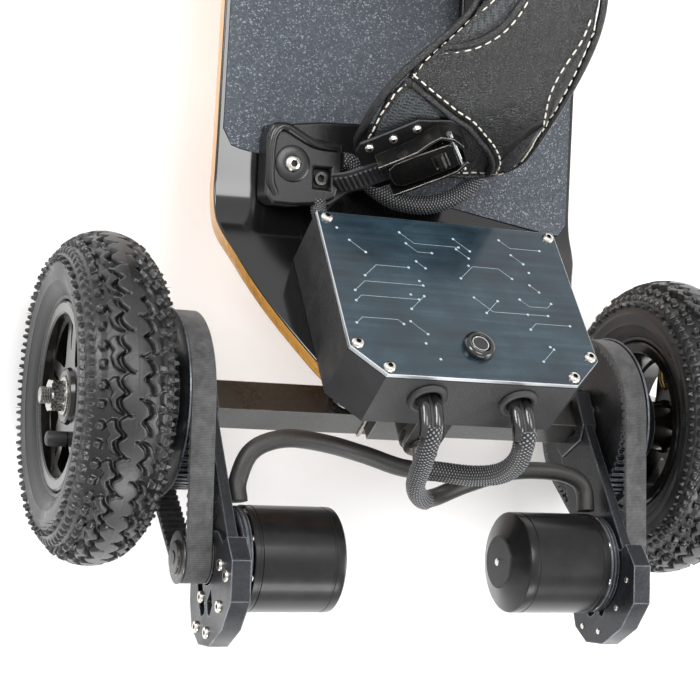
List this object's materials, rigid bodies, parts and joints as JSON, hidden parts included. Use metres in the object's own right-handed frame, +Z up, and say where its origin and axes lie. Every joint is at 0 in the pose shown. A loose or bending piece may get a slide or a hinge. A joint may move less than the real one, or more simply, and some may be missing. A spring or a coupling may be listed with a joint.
{
  "type": "electric mountain board",
  "caption": "Electric mountain board with a bent deck, foot bindings, sprung trucks, pneumatic wheels, belt-driven rear motors and a deck-mounted battery and controller.",
  "frame": {"origin": "on the floor, below the middle of the board's outline", "axes": "+Y towards the nose, +X to the rider's right when facing the nose, +Z up"},
  "size_m": [0.46, 1.1483, 0.2261],
  "materials": {
    "deck_wood": "lacquered, black top layer",
    "grip_grit": "coarse abrasive",
    "case_black": "fine texture powder coat",
    "cover_blue": "glossy dark blue with fine light lines",
    "button_steel": "black with bright ring",
    "grommet_rubber": "satin",
    "controller_aluminium": "anodised",
    "battery_black": "fine texture",
    "cell_wrap": "heat-shrink wrap",
    "cable_black": "braided sleeve and heat-shrink",
    "truck_black": "satin",
    "kingpin_steel": "zinc plated",
    "spring_steel": "bright",
    "tyre_rubber": "knobbly",
    "rim_black": "polished black",
    "bearing_steel": "ground",
    "pulley_black": "black anodised",
    "pulley_steel": "satin",
    "belt_rubber": "matt, woven back",
    "mount_black": "black anodised",
    "motor_black": "gloss",
    "binding_plastic": "moulded",
    "strap_leather": "grained with light stitching",
    "ratchet_black": "satin",
    "ladder_plastic": "ridged"
  },
  "bodies": {
    "deck": {"deck": "deck_wood", "grip_tape": "grip_grit", "controller_case": "case_black", "controller_cover": "cover_blue", "button_bezel": "button_steel", "cable_grommet_left": "grommet_rubber", "cable_grommet_right": "grommet_rubber", "motor_controller": "controller_aluminium", "battery_case": "battery_black", "battery_lid": "battery_black", "battery_pack": "cell_wrap", "battery_lead": "cable_black", "controller_lead": "cable_black", "phase_cable_left": "cable_black", "phase_cable_right": "cable_black", "rear_truck_base": "truck_black", "rear_kingpin": "kingpin_steel", "rear_binding_base": "binding_plastic", "rear_binding_strap": "strap_leather", "rear_ratchet_buckle": "ratchet_black", "rear_ladder_strap": "ladder_plastic", "rear_spring_left": "spring_steel", "rear_spring_right": "spring_steel", "front_truck_base": "truck_black", "front_kingpin": "kingpin_steel", "front_binding_base": "binding_plastic", "front_binding_strap": "strap_leather", "front_ratchet_buckle": "ratchet_black", "front_ladder_strap": "ladder_plastic", "front_spring_left": "spring_steel", "front_spring_right": "spring_steel"},
    "rear_hanger": {"rear_hanger": "truck_black", "motor_mount_left": "mount_black", "motor_base_left": "mount_black", "drive_belt_left": "belt_rubber", "motor_mount_right": "mount_black", "motor_base_right": "mount_black", "drive_belt_right": "belt_rubber"},
    "front_hanger": {"front_hanger": "truck_black"},
    "rear_left_wheel": {"rear_left_tyre": "tyre_rubber", "rear_left_rim": "rim_black", "rear_left_bearing": "bearing_steel", "wheel_pulley_left": "pulley_black"},
    "front_left_wheel": {"front_left_tyre": "tyre_rubber", "front_left_rim": "rim_black", "front_left_bearing": "bearing_steel"},
    "left_rotor": {"motor_rotor_left": "motor_black", "motor_pulley_left": "pulley_steel"},
    "rear_right_wheel": {"rear_right_tyre": "tyre_rubber", "rear_right_rim": "rim_black", "rear_right_bearing": "bearing_steel", "wheel_pulley_right": "pulley_black"},
    "front_right_wheel": {"front_right_tyre": "tyre_rubber", "front_right_rim": "rim_black", "front_right_bearing": "bearing_steel"},
    "right_rotor": {"motor_rotor_right": "motor_black", "motor_pulley_right": "pulley_steel"},
    "power_button": {"power_button": "button_steel"},
    "rear_lever": {"rear_ratchet_lever": "ratchet_black"},
    "front_lever": {"front_ratchet_lever": "ratchet_black"}
  },
  "joints": [
    {"name": "rear_truck_pivot", "type": "hinge", "parent": "deck", "child": "rear_hanger", "pos_m": [0, -0.41847, 0.11826], "axis": [0, -0.788, 0.6157], "range_deg": [-15, 15], "stiffness_Nm_per_rad": 60, "deforming": ["rear_spring_left", "rear_spring_right", "phase_cable_left", "phase_cable_right"]},
    {"name": "front_truck_pivot", "type": "hinge", "parent": "deck", "child": "front_hanger", "pos_m": [0, 0.46006, 0.11826], "axis": [0, 0.788, 0.6157], "range_deg": [-15, 15], "stiffness_Nm_per_rad": 60, "deforming": ["front_spring_left", "front_spring_right"]},
    {"name": "rear_left_wheel_spin", "type": "hinge", "parent": "rear_hanger", "child": "rear_left_wheel", "pos_m": [-0.198, -0.4327, 0.1], "axis": [1, 0, 0], "continuous": true},
    {"name": "rear_right_wheel_spin", "type": "hinge", "parent": "rear_hanger", "child": "rear_right_wheel", "pos_m": [0.198, -0.4327, 0.1], "axis": [1, 0, 0], "continuous": true},
    {"name": "front_left_wheel_spin", "type": "hinge", "parent": "front_hanger", "child": "front_left_wheel", "pos_m": [-0.198, 0.4743, 0.1], "axis": [1, 0, 0], "continuous": true},
    {"name": "front_right_wheel_spin", "type": "hinge", "parent": "front_hanger", "child": "front_right_wheel", "pos_m": [0.198, 0.4743, 0.1], "axis": [1, 0, 0], "continuous": true},
    {"name": "left_rotor_spin", "type": "hinge", "parent": "rear_hanger", "child": "left_rotor", "pos_m": [-0.09, -0.52251, 0.14877], "axis": [1, 0, 0], "continuous": true},
    {"name": "right_rotor_spin", "type": "hinge", "parent": "rear_hanger", "child": "right_rotor", "pos_m": [0.09, -0.52251, 0.14877], "axis": [1, 0, 0], "continuous": true},
    {"name": "power_button_press", "type": "slide", "parent": "deck", "child": "power_button", "axis": [0, -0.6157, -0.788], "range_m": [0, 0.0015], "stiffness_N_per_m": 800},
    {"name": "rear_ratchet_release", "type": "hinge", "parent": "deck", "child": "rear_lever", "pos_m": [0.00834, -0.26993, 0.15475], "axis": [-0.6157, 0.4852, 0.621], "range_deg": [0, 70], "stiffness_Nm_per_rad": 0.15},
    {"name": "front_ratchet_release", "type": "hinge", "parent": "deck", "child": "front_lever", "pos_m": [0.00834, 0.31151, 0.15475], "axis": [0.6157, 0.4852, -0.621], "range_deg": [0, 70], "stiffness_Nm_per_rad": 0.15}
  ],
  "couplings": [
    {"joint": "left_rotor_spin", "follows": "rear_left_wheel_spin", "ratio": 4.25},
    {"joint": "right_rotor_spin", "follows": "rear_right_wheel_spin", "ratio": 4.25}
  ]
}
